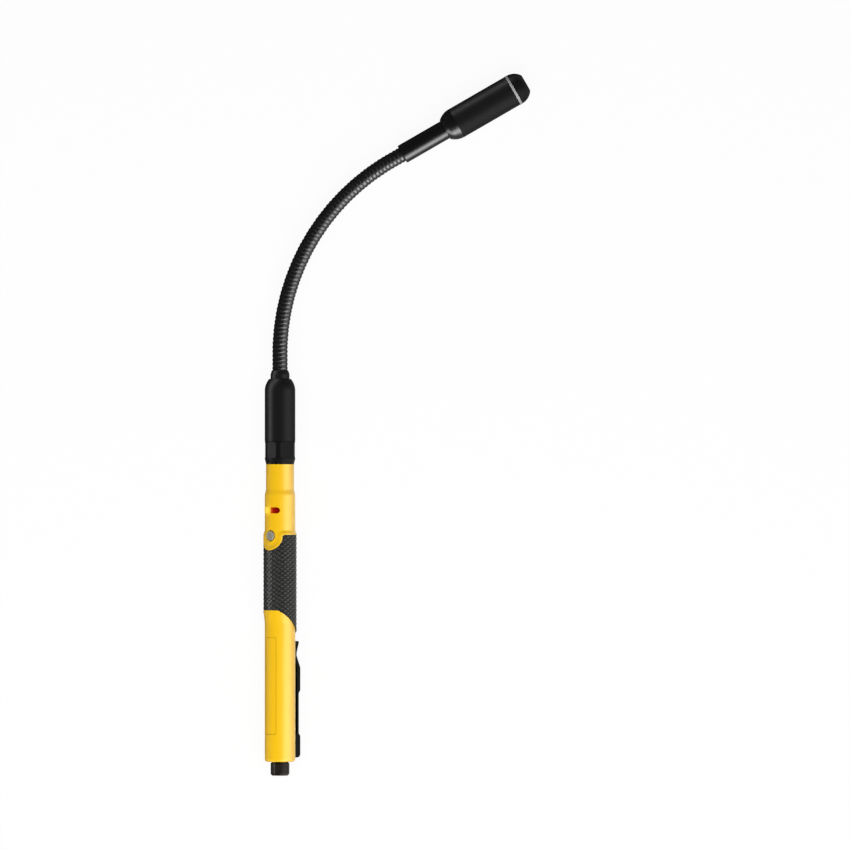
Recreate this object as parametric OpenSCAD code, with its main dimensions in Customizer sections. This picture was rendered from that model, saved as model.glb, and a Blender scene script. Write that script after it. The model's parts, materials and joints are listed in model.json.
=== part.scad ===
// Pen-type refrigerant leak detector with a bendable neck, lying on its side.
// Millimetres. The handle runs along +Y, the neck bends toward +X, +Z is up.

/* [Tail cap] */
// Outside diameter of the fluted knob
cap_d = 13.5; // [12.5:0.1:18]
// Length of the knob
cap_len = 9.6; // [8:0.1:14]
// Number of flutes round the knob
cap_flutes = 32; // [18:1:44]
// Radius of a flute's cutter
flute_r = 0.4; // [0.2:0.05:0.5]
// Depth of a flute
flute_depth = 0.3; // [0.1:0.05:0.35]
// Outside diameter of the threaded shank
thread_d = 11.6; // [11.4:0.1:12]
// Thickness of the barrel's end wall, which takes the thread
end_wall = 6.5; // [5:0.1:9]
// Gap between the knob and the barrel
cap_gap = 0.3; // [0.2:0.05:1]
// Wire diameter of the cell spring
spring_wire = 0.8; // [0.5:0.05:1]
// Turns of the cell spring
spring_turns = 5; // [3:0.5:7]

/* [Barrel] */
// Outside diameter of the barrel
barrel_d = 22; // [21:0.1:24]
// Diameter of the bore for cells and board
bore_d = 16.4; // [16:0.1:17]
// Length from the tail face to the front edge of the grip
lower_len = 109.1; // [107:0.1:140]
// Length from the top of the grip to the step
upper_len = 28.7; // [24:0.1:40]
// Length of the tapered step
step_len = 3.7; // [2:0.1:8]
// Diameter of the band above the step
band_d = 20.2; // [19.4:0.1:21]
// Length of the band above the step
band_len = 18.3; // [10:0.1:30]
// Diameter of the spigot inside the coupling ring
spigot_d = 18.6; // [18:0.1:18.8]
// Length of the spigot
spigot_len = 7.4; // [4:0.1:9]
// Radius of the tail corner
tail_corner = 2; // [0.5:0.1:3]
// Width of the sunk front panel
panel_w = 10; // [6:0.1:14]
// Length of the sunk front panel
panel_len = 69.9; // [40:0.1:75]
// Distance from the tail face to the front panel
panel_start = 19.8; // [12:0.1:30]
// Depth of the front panel
panel_depth = 0.3; // [0.2:0.05:0.6]
// Corner radius of the front panel
panel_corner = 1.2; // [0.5:0.1:2.5]

/* [Grip] */
// Outside diameter of the grip
grip_d = 24; // [23:0.1:27]
// Length of the grip on its front side
grip_len = 54.4; // [45:0.1:70]
// How much further the grip reaches down the back
grip_drop = 17.7; // [5:0.1:25]
// Thickness of the grip
grip_wall = 1.3; // [0.8:0.05:1.6]
// Radius of the round tab that holds the button
tab_r = 9.3; // [8:0.1:9.6]
// Radius of the corner between the tab and the grip's top edge
tab_corner = 1.2; // [0.5:0.1:1.8]
// How far the tab's face lies below the grip at its foot
tab_sink = 0.4; // [0.2:0.05:0.6]
// Height of the rim round the tab above the grip
tab_rim_h = 0.1; // [0.05:0.05:0.4]
// Width of the rim round the tab
tab_rim_w = 1.2; // [0.5:0.05:2]
// Length of the shoulder above the grip
shoulder_rise = 3.3; // [1.5:0.1:5]

/* [Button and lamp] */
// Diameter of the push button
button_d = 7; // [6:0.1:8.6]
// Depth of the button's face below the grip's diameter
button_sink = 0.9; // [0.5:0.05:1.1]
// Travel of the button
button_travel = 0.6; // [0.3:0.05:0.6]
// Width of the lamp window
lamp_w = 15; // [8:0.1:17]
// Height of the lamp window
lamp_h = 4.3; // [3:0.1:8]
// Distance from the top of the grip to the lamp
lamp_rise = 17.6; // [12:0.1:22]
// Diameter of the lamp
lamp_d = 5; // [3:0.1:5.6]

/* [Pocket clip] */
// Width of the clip
clip_w = 9.5; // [8:0.1:12]
// Length of the clip
clip_len = 83.9; // [70:0.1:90]
// Distance from the tail face to the clip
clip_start = 2.9; // [2:0.1:5]
// Height of the clip's pads above the barrel
clip_rise = 5.4; // [4.6:0.1:7]
// Height of the thinner stretch between the pads
clip_web_rise = 3.75; // [3.4:0.05:4.2]
// Gap between the clip and the barrel
clip_gap = 2.2; // [1.6:0.1:2.6]
// Thickness of the clip where it nears the barrel
clip_tip_t = 1.2; // [0.9:0.1:1.6]
// Radius of the clip's root bead
bead_r = 0.9; // [0.7:0.05:1]

/* [Neck boot] */
// Diameter of the boot and of its coupling ring
boot_d = 22; // [21.6:0.1:26]
// Length of the coupling ring
ring_len = 16.6; // [15:0.1:22]
// Length of the coupling ring's taper
ring_taper = 3.9; // [2:0.1:6]
// Number of flats on the coupling ring
ring_flats = 6; // [4:1:6]
// Depth of a flat
flat_depth = 0.9; // [0.5:0.05:1]
// How far a flat stops short of where it would run out
flat_inset = 0.4; // [0.3:0.05:1]
// Length of the boot above the ring
boot_len = 44.9; // [36:0.1:60]
// Length of the boot's round shoulder
shoulder_len = 8.6; // [5:0.1:12]
// Diameter of the boot's top face
boot_top_d = 15.6; // [14:0.1:17]
// Diameter of the neck collar at its foot
collar_d = 13.7; // [12.6:0.1:14]
// Diameter of the neck collar at its top
collar_top_d = 12.2; // [11:0.1:12.6]
// Length of the neck collar
collar_len = 6.2; // [4:0.1:9]

/* [Neck] */
// Outside diameter of the neck's ribs
neck_d = 11.1; // [10:0.1:11.4]
// Distance from rib to rib
rib_pitch = 3; // [2.8:0.05:3.4]
// Width of a rib
rib_w = 1.65; // [1.2:0.05:1.7]
// Number of ribs on the neck's fixed root
root_ribs = 4; // [3:1:8]
// Number of ribs on the neck's fixed tip
tip_ribs = 5; // [3:1:8]
// Bend of the neck at rest
rest_bend = 60; // [0:1:90]
// Largest bend to either side
full_bend = 180; // [90:5:180]
// Diameter of the hole for the leads
lead_d = 3; // [2:0.1:3.4]
// Gap kept between links at their full bend
link_gap = 0.3; // [0.2:0.02:0.36]

/* [Sensor head] */
// Diameter of the stem between neck and head
stem_d = 14; // [13:0.1:15]
// Length of the stem
stem_len = 35.6; // [28:0.1:50]
// Diameter of the head
head_d = 23; // [22:0.1:26]
// Length of the head
head_len = 67.2; // [56:0.1:80]
// Length of the head's round rear
rear_len = 9.4; // [7:0.1:12]
// Diameter of the head's rear face
rear_d = 15.4; // [15.1:0.1:17]
// Length of the nose
nose_len = 9.4; // [8:0.1:10.5]
// Diameter of the flat tip
tip_d = 12.7; // [12:0.1:14]
// Width of the pale ring behind the nose
mark_w = 1.7; // [1:0.1:3]
// Wall of the head
head_wall = 2; // [1.4:0.1:2.2]
// Diameter of the gas inlet
inlet_d = 8.2; // [6:0.1:8.6]

/* [Cells and boards] */
// Diameter of a cell
cell_d = 10.5; // [10.3:0.1:10.7]
// Length of a cell with its nub
cell_len = 44.5; // [43:0.1:45]
// Thickness of the boards
board_t = 1.2; // [0.8:0.1:1.6]
// Height of the main board's front face above the axis
board_face = 3.8; // [3.4:0.1:4]
// Length of the main board
board_len = 105; // [95:1:110]
// Diameter of the buzzer
buzzer_d = 12; // [9:0.1:12]
// Height of the buzzer
buzzer_h = 5.5; // [3:0.1:6]

/* [Placing] */
// Turn of the handle's front away from straight up
front_turn = 42; // [30:1:50]

/* [Hidden] */
$fn = 96;
link_count = 27;
ribs_a_link = 2;
fit = 0.1;
running = 0.15;
clear = 0.3;
eps = 0.5;
hair = 0.01;

// Radii
barrel_r = barrel_d / 2;
bore_r = bore_d / 2;
grip_r = grip_d / 2;
recess_r = grip_r - grip_wall;
boot_r = boot_d / 2;
spigot_r = spigot_d / 2;
shank_r = thread_d / 2;
thread_hole_r = shank_r + running;
cell_r = cell_d / 2;
button_r = button_d / 2;
neck_r = neck_d / 2;
head_r = head_d / 2;
tip_r = tip_d / 2;

// Stations along the handle, measured from the tail
flare_len = 9;
grip_front_cut = 2;
button_drop = 0.7;
tab_drop = 1.9;
tab_taper = 7.5;
seal_t = 1;
tail_z = cap_len + cap_gap;
wall_z = tail_z + end_wall;
grip_z = tail_z + lower_len;
grip_top = grip_z + grip_len;
grip_back_z = grip_z - grip_drop;
grip_flat = grip_r - grip_front_cut;
flare_z = grip_z - flare_len;
shoulder_z = grip_top + shoulder_rise;
step_z = grip_top + upper_len;
band_z = step_z + step_len;
ring_z = band_z + band_len;
spigot_top = ring_z + spigot_len;
boot_z = ring_z + ring_len;
boot_top = boot_z + boot_len;
collar_top = boot_top + collar_len;
button_z = grip_top - button_drop;
tab_z = grip_top - tab_drop;
tab_foot = tab_z - tab_r;
tab_head = grip_top + tab_taper;
lamp_z = grip_top + lamp_rise;

// Cells, spring and contact
cell_stand = 1.6;
cell_play = 0.2;
nub_h = 1;
nub_r = 1.9;
contact_t = 0.5;
board_stand = 2;
tube_wall = 1.1;
seal_r = 0.5;
seal_seat = 1.1;
shank_wall = 1.3;
pocket_z = 4;
shank_top = wall_z - clear;
cell_start = wall_z + cell_stand;
tube_top = cell_start + 2 * cell_len;
board_z = tube_top + contact_t + board_stand;
tube_r = cell_r + cell_play;
pocket_r = shank_r - shank_wall;

// Button stack, heights along the front direction
flange_t = 0.9;
flange_w = 0.8;
ledge_rise = 0.8;
switch_w = 6;
plunger_r = 1.7;
plunger_in = 1;
button_top = grip_r - button_sink;
flange_r = button_r + flange_w;
ledge = bore_r + ledge_rise;
flange_top = ledge - fit;
button_base = flange_top - flange_t;
switch_top = button_base - button_travel - clear;
plunger_base = switch_top - plunger_in;

// Clip, heights above the barrel
bead_in = 3.4;
bead_sink = 0.2;
bead_half = 2.8;
bead_stalk = 0.45;
clip_ball = 1.15;
clip_kick = 2.4;
clip_flat = 2.6;
clip_root = 1;
foot_reach = 20;
clip_z = tail_z + clip_start;
clip_end = clip_z + clip_len;
bead_z = clip_z + bead_in;
bead_y = barrel_r - bead_r - bead_sink;
pad_z = clip_z + 0.185 * clip_len;
web_z = clip_z + 0.207 * clip_len;
web_end = clip_z + 0.553 * clip_len;
pad_end = clip_z + 0.771 * clip_len;
nip_z = clip_z + 0.875 * clip_len;

// Boot
boot_bore = 7.4;
boot_edge = 0.25;
nut_h = 5;
nut_play = 0.2;
nut_in = 16;
nut_r = boot_bore - nut_play;
nut_z = boot_z + nut_in;
seat_z = nut_z + nut_h;
ring_turn = 5.5;
flat_end = 0.5;
flat_w = 2 * (sqrt(pow(boot_r, 2) - pow(boot_r - flat_depth, 2)) - flat_inset);

// Neck links: a ball on the lower end of each sits in a socket in the one below
rib_sink = 0.25;
socket_rim = 1.1;
rib_r = rib_w / 2;
rib_centre = neck_r - rib_r;
core_r = rib_centre - rib_sink;
ball_r = core_r - socket_rim;
link_len = ribs_a_link * rib_pitch;
root_len = root_ribs * rib_pitch;
tip_len = tip_ribs * rib_pitch;
bends = (link_count + 1) / 2;
step_bend = rest_bend / bends;
half_turn = full_bend / bends / 2;
core_end = (core_r * sin(half_turn) + link_gap / 2) / cos(half_turn);
socket_r = ball_r + link_gap;
first_joint = collar_top + root_len;
tip_seat = 12;

// Head, measured from the lower end of the stem
mark_z = stem_len + head_len - nose_len - mark_w;
nose_z = mark_z + mark_w;
head_top = stem_len + head_len;
rear_r = rear_d / 2;
rear_plug = 4;
seam = 0.15;
seam_z = stem_len + rear_len;
joint_step = 1.8;
joint_len = 4;
joint_r = rear_r - joint_step;
head_bore = head_r - head_wall;
nose_arc = (nose_len * nose_len + pow(head_r - tip_r, 2)) / (2 * (head_r - tip_r));
socket_wall = 1.2;
socket_len = 10;
inlet_r = inlet_d / 2;
filter_rim = 0.7;
filter_t = 1.2;
lip = 1;
can_gap = 0.5;
can_r = 4.55;
well_r = 5.2;
pin_ring = 2.9;
pin_r = 0.25;
pin_len = 2;
filter_r = inlet_r + filter_rim;
filter_z = head_top - lip - filter_t;
can_h = filter_z - nose_z - can_gap;

// Heading of a link and the place of the joint at its lower end
function heading(k) = floor(k / 2) * step_bend;
function along(a) = [sin(a), cos(a)];
function joint_at(k) =
    k <= 1 ? [0, first_joint] : joint_at(k - 1) + link_len * along(heading(k - 1));
last = link_count + 1;
stem_at = joint_at(last) + tip_len * along(rest_bend);
nose_at = stem_at + nose_z * along(rest_bend);

// How far the nose reaches from the centre of its base, at an angle from its axis
function nose_reach(a) =
    nose_arc * cos(a) <= nose_len
        ? (head_r - nose_arc) * sin(a) + nose_arc
        : nose_len * cos(a) + tip_r * sin(a);

// The origin is under the middle of the outline, on the surface that it lies on
right_x = nose_at.x + nose_reach(90 - rest_bend);
mid_x = (right_x - grip_r) / 2;
mid_y = (nose_at.y + nose_reach(rest_bend)) / 2;
clip_low = sin(front_turn) * clip_w / 2 + cos(front_turn) * (barrel_r + clip_rise);
axis_z = max(grip_r, head_r, clip_low);

function link_name(k) = str("neck_link_", k < 10 ? "0" : "", k);

// Placing

module placed() {
    translate([-mid_x, -mid_y, axis_z]) children();
}

// The handle's own frame: +Z from tail to neck, the button side toward -Y
module on_handle() {
    placed() rotate([-90, 0, 0]) rotate([0, 0, -front_turn]) children();
}

// The frame of a link: +Z along it, from the joint at its lower end
module on_link(k) {
    placed()
        translate([joint_at(k).x, joint_at(k).y, 0])
            rotate([0, 0, -heading(k)]) rotate([-90, 0, 0]) children();
}

module on_head() {
    on_link(last) translate([0, 0, tip_len]) children();
}

// An extrusion from the handle's axis toward its front, at a station
module toward_front(z) {
    translate([0, 0, z]) rotate([90, 0, 0]) children();
}

// An extrusion across the handle of an outline drawn as height behind the axis and station
module across(w) {
    rotate([90, 0, 90]) linear_extrude(w, center = true) children();
}

// Shared shapes

module tube(r, bore, len) {
    difference() {
        cylinder(r = r, h = len);
        translate([0, 0, -eps]) cylinder(r = bore, h = len + 2 * eps);
    }
}

module round_box(w, h, r) {
    square([w - 2 * r, h], center = true);
    square([w, h - 2 * r], center = true);
    for (x = [-1, 1], y = [-1, 1])
        translate([x * (w / 2 - r), y * (h / 2 - r)]) circle(r = r);
}

// Quarter outline that runs from a side at radius r to a top at radius r_top
module arc_end(r, r_top, len) {
    arc = (len * len + pow(r - r_top, 2)) / (2 * (r - r_top));
    intersection() {
        translate([r - arc, 0]) circle(r = arc, $fn = 240);
        square([r, len]);
    }
}

module rib(z) {
    translate([0, 0, z]) rotate_extrude() translate([rib_centre, 0]) circle(r = rib_r, $fn = 40);
}

module ribs(count) {
    for (i = [0:count - 1]) rib((i + 0.5) * rib_pitch);
}

// Hollow corner between a tab's side and the grip's top edge
module tab_fillet(r) {
    difference() {
        translate([r - eps, grip_top - tab_corner]) square([tab_corner + eps, tab_corner]);
        translate([r + tab_corner, grip_top - tab_corner]) circle(r = tab_corner);
    }
}

module tab_outline(r) {
    translate([0, tab_z]) circle(r = r);
    translate([-r, tab_z]) square([2 * r, upper_len]);
    tab_fillet(r);
    mirror([1, 0]) tab_fillet(r);
}

// The grip's solid, which the barrel is cut back for
module grip_solid() {
    low = grip_back_z - eps;
    difference() {
        translate([0, 0, grip_back_z]) tube(grip_r, recess_r, grip_top - grip_back_z);
        toward_front(0) linear_extrude(2 * grip_r) tab_outline(tab_r);
        across(3 * grip_r) polygon([
            [-2 * grip_r, low],
            [-2 * grip_r, grip_z],
            [-grip_flat, grip_z],
            [grip_r, grip_back_z],
            [grip_r, low]]);
    }
}

module lamp_solid(proud) {
    intersection() {
        translate([0, 0, lamp_z - lamp_h]) tube(barrel_r + proud, bore_r, 2 * lamp_h);
        toward_front(lamp_z) linear_extrude(2 * barrel_r) round_box(lamp_w, lamp_h, lamp_h / 2 - hair);
    }
}

// Tail cap and its spring

module knob_outline() {
    edge = 1.8;
    bevel = 0.8;
    r = cap_d / 2;
    translate([r - edge, edge]) circle(r = edge);
    polygon([
        [0, 0],
        [r - edge, 0],
        [r, edge],
        [r, cap_len - bevel],
        [r - bevel, cap_len],
        [0, cap_len]]);
}

module tail_cap() {
    flute_in = 1.5;
    flute_out = 1.1;
    color("#1b1b1c") on_handle() difference() {
        union() {
            rotate_extrude() knob_outline();
            cylinder(r = shank_r, h = shank_top);
        }
        translate([0, 0, pocket_z]) cylinder(r = pocket_r, h = wall_z);
        for (i = [1:cap_flutes])
            rotate([0, 0, i * 360 / cap_flutes])
                translate([cap_d / 2 + flute_r - flute_depth, 0, flute_in])
                    cylinder(r = flute_r, h = cap_len - flute_in - flute_out, $fn = 24);
    }
}

module cap_seal() {
    color("#101010") on_handle()
        translate([0, 0, tail_z + seal_seat / 2])
            rotate_extrude() translate([shank_r + seal_r + fit / 2, 0]) circle(r = seal_r, $fn = 32);
}

// A point of the spring's wire: station along the coil from 0 to 1, angle round the wire
spring_base = pocket_z + spring_wire / 2 + fit;
spring_rise = cell_start - fit - spring_wire / 2 - spring_base;
spring_steps = 14;
spring_sides = 6;
spring_taper = 1.2;
function coil_r(t) = pocket_r - spring_wire / 2 - running - spring_taper * t;
function coil_point(t, a) =
    let (turn = 360 * spring_turns * t, r = coil_r(t) + spring_wire / 2 * cos(a))
    [r * cos(turn), r * sin(turn), spring_base + spring_rise * t + spring_wire / 2 * sin(a)];

module tail_spring() {
    rings = spring_turns * spring_steps;
    n = spring_sides;
    points = [for (i = [0:rings], j = [0:n - 1]) coil_point(i / rings, 360 * j / n)];
    sides = [for (i = [0:rings - 1], j = [0:n - 1])
        [i * n + j, (i + 1) * n + j, (i + 1) * n + (j + 1) % n, i * n + (j + 1) % n]];
    first_end = [for (j = [0:n - 1]) j];
    last_end = [for (j = [n - 1:-1:0]) rings * n + j];
    color("#b8b8b4") on_handle() polyhedron(points, concat(sides, [first_end, last_end]));
}

// Barrel

module barrel_outline() {
    corner = tail_corner;
    translate([barrel_r - corner, tail_z + corner]) circle(r = corner);
    polygon([
        [0, tail_z],
        [barrel_r - corner, tail_z],
        [barrel_r, tail_z + corner],
        [barrel_r, flare_z],
        [grip_r, grip_z],
        [grip_r - tab_sink, tab_foot],
        [barrel_r, tab_head],
        [barrel_r, step_z],
        [band_d / 2, band_z],
        [band_d / 2, ring_z],
        [spigot_r, ring_z],
        [spigot_r, spigot_top],
        [0, spigot_top]]);
}

module tab_rim() {
    intersection() {
        translate([0, 0, tab_foot - eps]) tube(grip_r + tab_rim_h, recess_r, grip_top - tab_foot + eps);
        toward_front(0) linear_extrude(2 * grip_r) difference() {
            tab_outline(tab_r);
            tab_outline(tab_r - tab_rim_w);
        }
    }
}

// The slope from the grip's top edge up to the barrel, open at the tab
module grip_shoulder() {
    difference() {
        rotate_extrude() polygon([
            [recess_r, grip_top],
            [grip_r, grip_top],
            [barrel_r, shoulder_z],
            [recess_r, shoulder_z]]);
        toward_front(0) linear_extrude(2 * grip_r) tab_outline(tab_r - tab_rim_w);
    }
}

module clip_groove() {
    half = bead_half + clear;
    slot = bead_stalk + clear;
    translate([0, bead_y, bead_z]) rotate([0, 90, 0])
        cylinder(r = bead_r + fit / 2, h = 2 * half, center = true, $fn = 48);
    translate([-half, bead_y, bead_z - slot]) cube([2 * half, barrel_r, 2 * slot]);
}

module barrel() {
    color("#eab308") on_handle() difference() {
        union() {
            difference() {
                rotate_extrude() barrel_outline();
                grip_solid();
            }
            tab_rim();
            grip_shoulder();
        }
        translate([0, 0, tail_z - eps]) cylinder(r = thread_hole_r, h = end_wall + 2 * eps);
        translate([0, 0, tail_z - eps])
            cylinder(r = shank_r + 2 * seal_r + running, h = seal_seat + eps);
        translate([0, 0, wall_z]) cylinder(r = bore_r, h = spigot_top);
        toward_front(button_z) cylinder(r = button_r + running, h = 2 * grip_r);
        toward_front(button_z) cylinder(r = flange_r + running, h = ledge);
        lamp_solid(eps);
        clip_groove();
        toward_front(tail_z + panel_start + panel_len / 2) intersection() {
            linear_extrude(barrel_r + eps) round_box(panel_w, panel_len, panel_corner);
            rotate([-90, 0, 0]) translate([0, 0, -panel_len])
                tube(barrel_r + eps, barrel_r - panel_depth, 2 * panel_len);
        }
    }
}

module grip_sleeve() {
    color("#2e2d2b") on_handle() grip_solid();
}

// Button, lamp and board

module push_button() {
    edge = 0.4;
    rim = 0.8;
    dish = 0.2;
    h = button_top - button_base;
    color("#b9bcbd") on_handle() toward_front(button_z) translate([0, 0, button_base]) {
        cylinder(r = flange_r, h = flange_t);
        rotate_extrude() polygon([
            [0, 0],
            [button_r, 0],
            [button_r, h - edge],
            [button_r - edge, h],
            [button_r - edge - rim, h],
            [button_r - 2 * edge - rim, h - dish],
            [0, h - dish]]);
    }
}

module switch_plunger() {
    color("#202020") on_handle() toward_front(button_z)
        translate([0, 0, plunger_base]) cylinder(r = plunger_r, h = button_base - plunger_base);
}

module tact_switch() {
    color("#3a3a3c") on_handle() toward_front(button_z) difference() {
        translate([-switch_w / 2, -switch_w / 2, board_face])
            cube([switch_w, switch_w, switch_top - board_face]);
        translate([0, 0, plunger_base - button_travel - running])
            cylinder(r = plunger_r + running, h = switch_top);
    }
}

module lamp_window() {
    proud = 0.15;
    color("#8c1408") on_handle() lamp_solid(proud);
}

module lamp() {
    rim_h = 1;
    rim_w = 0.4;
    dome_z = bore_r - lamp_d / 2 - fit;
    color("#ff9a50") on_handle() toward_front(lamp_z) {
        translate([0, 0, board_face]) cylinder(r = lamp_d / 2 + rim_w, h = rim_h);
        translate([0, 0, board_face]) cylinder(r = lamp_d / 2, h = dome_z - board_face);
        translate([0, 0, dome_z]) rotate_extrude() intersection() {
            circle(r = lamp_d / 2);
            square(lamp_d / 2);
        }
    }
}

module circuit_board() {
    half = sqrt(pow(bore_r - fit, 2) - board_face * board_face);
    color("#1f6b3a") on_handle()
        translate([-half, -board_face, board_z]) cube([2 * half, board_t, board_len]);
}

module buzzer() {
    color("#161616") on_handle() toward_front(board_z + board_len / 4)
        translate([0, 0, board_face - board_t - buzzer_h]) cylinder(r = buzzer_d / 2, h = buzzer_h);
}

// Cells

module cell(z) {
    edge = 0.5;
    body = cell_len - nub_h;
    translate([0, 0, z]) rotate_extrude() polygon([
        [0, 0],
        [cell_r - edge, 0],
        [cell_r, edge],
        [cell_r, body - edge],
        [cell_r - edge, body],
        [nub_r, body],
        [nub_r, cell_len],
        [0, cell_len]]);
}

module cell_rear() {
    color("#33465c") on_handle() cell(cell_start);
}

module cell_front() {
    color("#33465c") on_handle() cell(cell_start + cell_len);
}

module cell_tube() {
    collar = 2;
    color("#d9d9d2") on_handle() difference() {
        union() {
            translate([0, 0, wall_z]) cylinder(r = tube_r + tube_wall, h = tube_top - wall_z);
            for (z = [wall_z, (wall_z + tube_top - collar) / 2, tube_top - collar])
                translate([0, 0, z]) cylinder(r = bore_r - fit, h = collar);
        }
        translate([0, 0, wall_z - eps]) cylinder(r = tube_r, h = tube_top);
    }
}

module front_contact() {
    tab_w = 3;
    tab_t = 0.4;
    tab_len = 8;
    back = board_face - board_t;
    color("#c9c9c4") on_handle() {
        translate([0, 0, tube_top]) cylinder(r = tube_r + tube_wall, h = contact_t);
        translate([-tab_w / 2, -back, tube_top]) cube([tab_w, tab_t, tab_len]);
    }
}

// Pocket clip: a foot hooked into the barrel, two pads and a turned-out free end

module clip_outline() {
    foot = clip_rise - clip_flat;
    ramp = 2;
    r = barrel_r;
    top = r + clip_rise;
    web = r + clip_web_rise;
    low = r + clear;
    kick = low + clip_kick;
    ball_z = clip_end - clip_ball;
    translate([top - foot, clip_z + foot]) circle(r = foot);
    translate([kick, ball_z]) circle(r = clip_ball);
    polygon([
        [low - clip_root, clip_z],
        [top - foot, clip_z],
        [top, clip_z + foot],
        [top, pad_z],
        [web, web_z],
        [web, web_end],
        [top, web_end + ramp],
        [top, pad_end],
        [low + clip_tip_t, nip_z],
        [low + clip_tip_t, nip_z + ramp],
        [kick + clip_ball, ball_z],
        [kick - clip_ball, ball_z],
        [low, nip_z + ramp],
        [low, nip_z],
        [r + clip_gap, pad_end],
        [r + clip_gap, web_z],
        [low, pad_z],
        [low - clip_root, pad_z]]);
}

module pocket_clip() {
    color("#1d1d1f") on_handle() {
        difference() {
            across(clip_w) clip_outline();
            cylinder(r = barrel_r + clear, h = clip_z + foot_reach);
        }
        translate([0, bead_y, bead_z]) rotate([0, 90, 0])
            cylinder(r = bead_r, h = 2 * bead_half, center = true, $fn = 48);
        translate([-bead_half, bead_y, bead_z - bead_stalk])
            cube([2 * bead_half, barrel_r + clip_root - bead_y, 2 * bead_stalk]);
    }
}

// Boot and collar

module coupling_ring() {
    inner = spigot_r + fit;
    taper_in = 1;
    flat_corner = 1.6;
    flat_len = ring_len - ring_taper - 2 * flat_end;
    color("#19191a") on_handle() difference() {
        rotate_extrude() polygon([
            [inner, ring_z],
            [boot_r - taper_in, ring_z],
            [boot_r, ring_z + ring_taper],
            [boot_r, boot_z - boot_edge],
            [boot_r - boot_edge, boot_z],
            [inner, boot_z]]);
        for (i = [1:ring_flats])
            rotate([0, 0, i * 360 / ring_flats + ring_turn])
                toward_front(ring_z + ring_taper + flat_end + flat_len / 2)
                    translate([0, 0, boot_r - flat_depth])
                        linear_extrude(boot_r) round_box(flat_w, flat_len, flat_corner);
    }
}

module boot_seal() {
    color("#101010") on_handle() translate([0, 0, spigot_top]) tube(spigot_r, bore_r, seal_t);
}

module neck_boot() {
    insert_z = spigot_top + seal_t;
    color("#1a1a1b") on_handle() difference() {
        union() {
            translate([0, 0, insert_z]) cylinder(r = spigot_r, h = boot_z - insert_z + eps);
            translate([0, 0, boot_z]) rotate_extrude() {
                polygon([
                    [0, 0],
                    [boot_r - boot_edge, 0],
                    [boot_r, boot_edge],
                    [boot_r, boot_len - shoulder_len],
                    [0, boot_len - shoulder_len]]);
                translate([0, boot_len - shoulder_len])
                    arc_end(boot_r, boot_top_d / 2, shoulder_len);
            }
        }
        translate([0, 0, insert_z - eps]) cylinder(r = boot_bore, h = seat_z - insert_z + eps);
        cylinder(r = core_r + fit, h = boot_top + eps);
    }
}

module root_nut() {
    color("#8f8f8c") on_handle() translate([0, 0, nut_z]) difference() {
        cylinder(r = nut_r, h = nut_h, $fn = 6);
        translate([0, 0, -eps]) cylinder(r = core_r + fit / 2, h = nut_h + 2 * eps);
    }
}

module neck_collar() {
    r = collar_d / 2;
    r_top = collar_top_d / 2;
    foot_len = 3.2;
    edge = 0.5;
    color("#1c1c1d") on_handle() translate([0, 0, boot_top]) rotate_extrude() polygon([
        [core_r + fit / 2, 0],
        [r, 0],
        [r, foot_len],
        [r_top, collar_len - edge],
        [r_top - edge, collar_len],
        [core_r + fit / 2, collar_len]]);
}

// Neck: fixed root, links and fixed tip

module socket(z) {
    translate([0, 0, z]) sphere(r = socket_r);
}

module neck_root() {
    past_nut = 1;
    inside = first_joint - nut_z + past_nut;
    color("#222223") on_link(0) difference() {
        union() {
            translate([0, 0, -inside]) cylinder(r = core_r, h = inside - core_end);
            translate([0, 0, -root_len]) ribs(root_ribs);
        }
        socket(0);
        translate([0, 0, -first_joint]) cylinder(r = lead_d / 2, h = first_joint);
    }
}

module neck_link(k) {
    color("#222223") on_link(k) difference() {
        union() {
            translate([0, 0, core_end]) cylinder(r = core_r, h = link_len - 2 * core_end);
            sphere(r = ball_r);
            ribs(ribs_a_link);
        }
        socket(link_len);
        translate([0, 0, -link_len]) cylinder(r = lead_d / 2, h = 2 * link_len);
    }
}

module neck_tip() {
    color("#222223") on_link(last) difference() {
        union() {
            translate([0, 0, core_end]) cylinder(r = core_r, h = tip_len + tip_seat - core_end);
            sphere(r = ball_r);
            ribs(tip_ribs);
        }
        translate([0, 0, -link_len]) cylinder(r = lead_d / 2, h = link_len + tip_len + tip_seat + eps);
    }
}

// Sensor head

module head_stem() {
    edge = 0.6;
    r = stem_d / 2;
    color("#161617") on_head() difference() {
        rotate_extrude() polygon([
            [0, 0],
            [r - edge, 0],
            [r, edge],
            [r, stem_len],
            [joint_r, stem_len],
            [joint_r, stem_len + joint_len],
            [0, stem_len + joint_len]]);
        translate([0, 0, -eps]) cylinder(r = core_r + fit / 2, h = tip_seat + eps);
        cylinder(r = lead_d / 2, h = head_top);
    }
}

module head_rear() {
    color("#1d1d1e") on_head() difference() {
        union() {
            rotate_extrude() translate([0, seam_z]) mirror([0, 1]) arc_end(head_r, rear_r, rear_len);
            translate([0, 0, seam_z - eps]) cylinder(r = head_bore - fit / 2, h = rear_plug + eps);
        }
        cylinder(r = joint_r + fit / 2, h = mark_z);
    }
}

module head_housing() {
    color("#19191a") on_head() rotate_extrude() polygon([
        [head_bore, seam_z],
        [head_r - seam, seam_z],
        [head_r, seam_z + seam],
        [head_r, mark_z],
        [head_bore, mark_z]]);
}

module mark_ring() {
    color("#cfd0cc") on_head() translate([0, 0, mark_z]) tube(head_r + fit, head_bore, mark_w);
}

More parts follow.
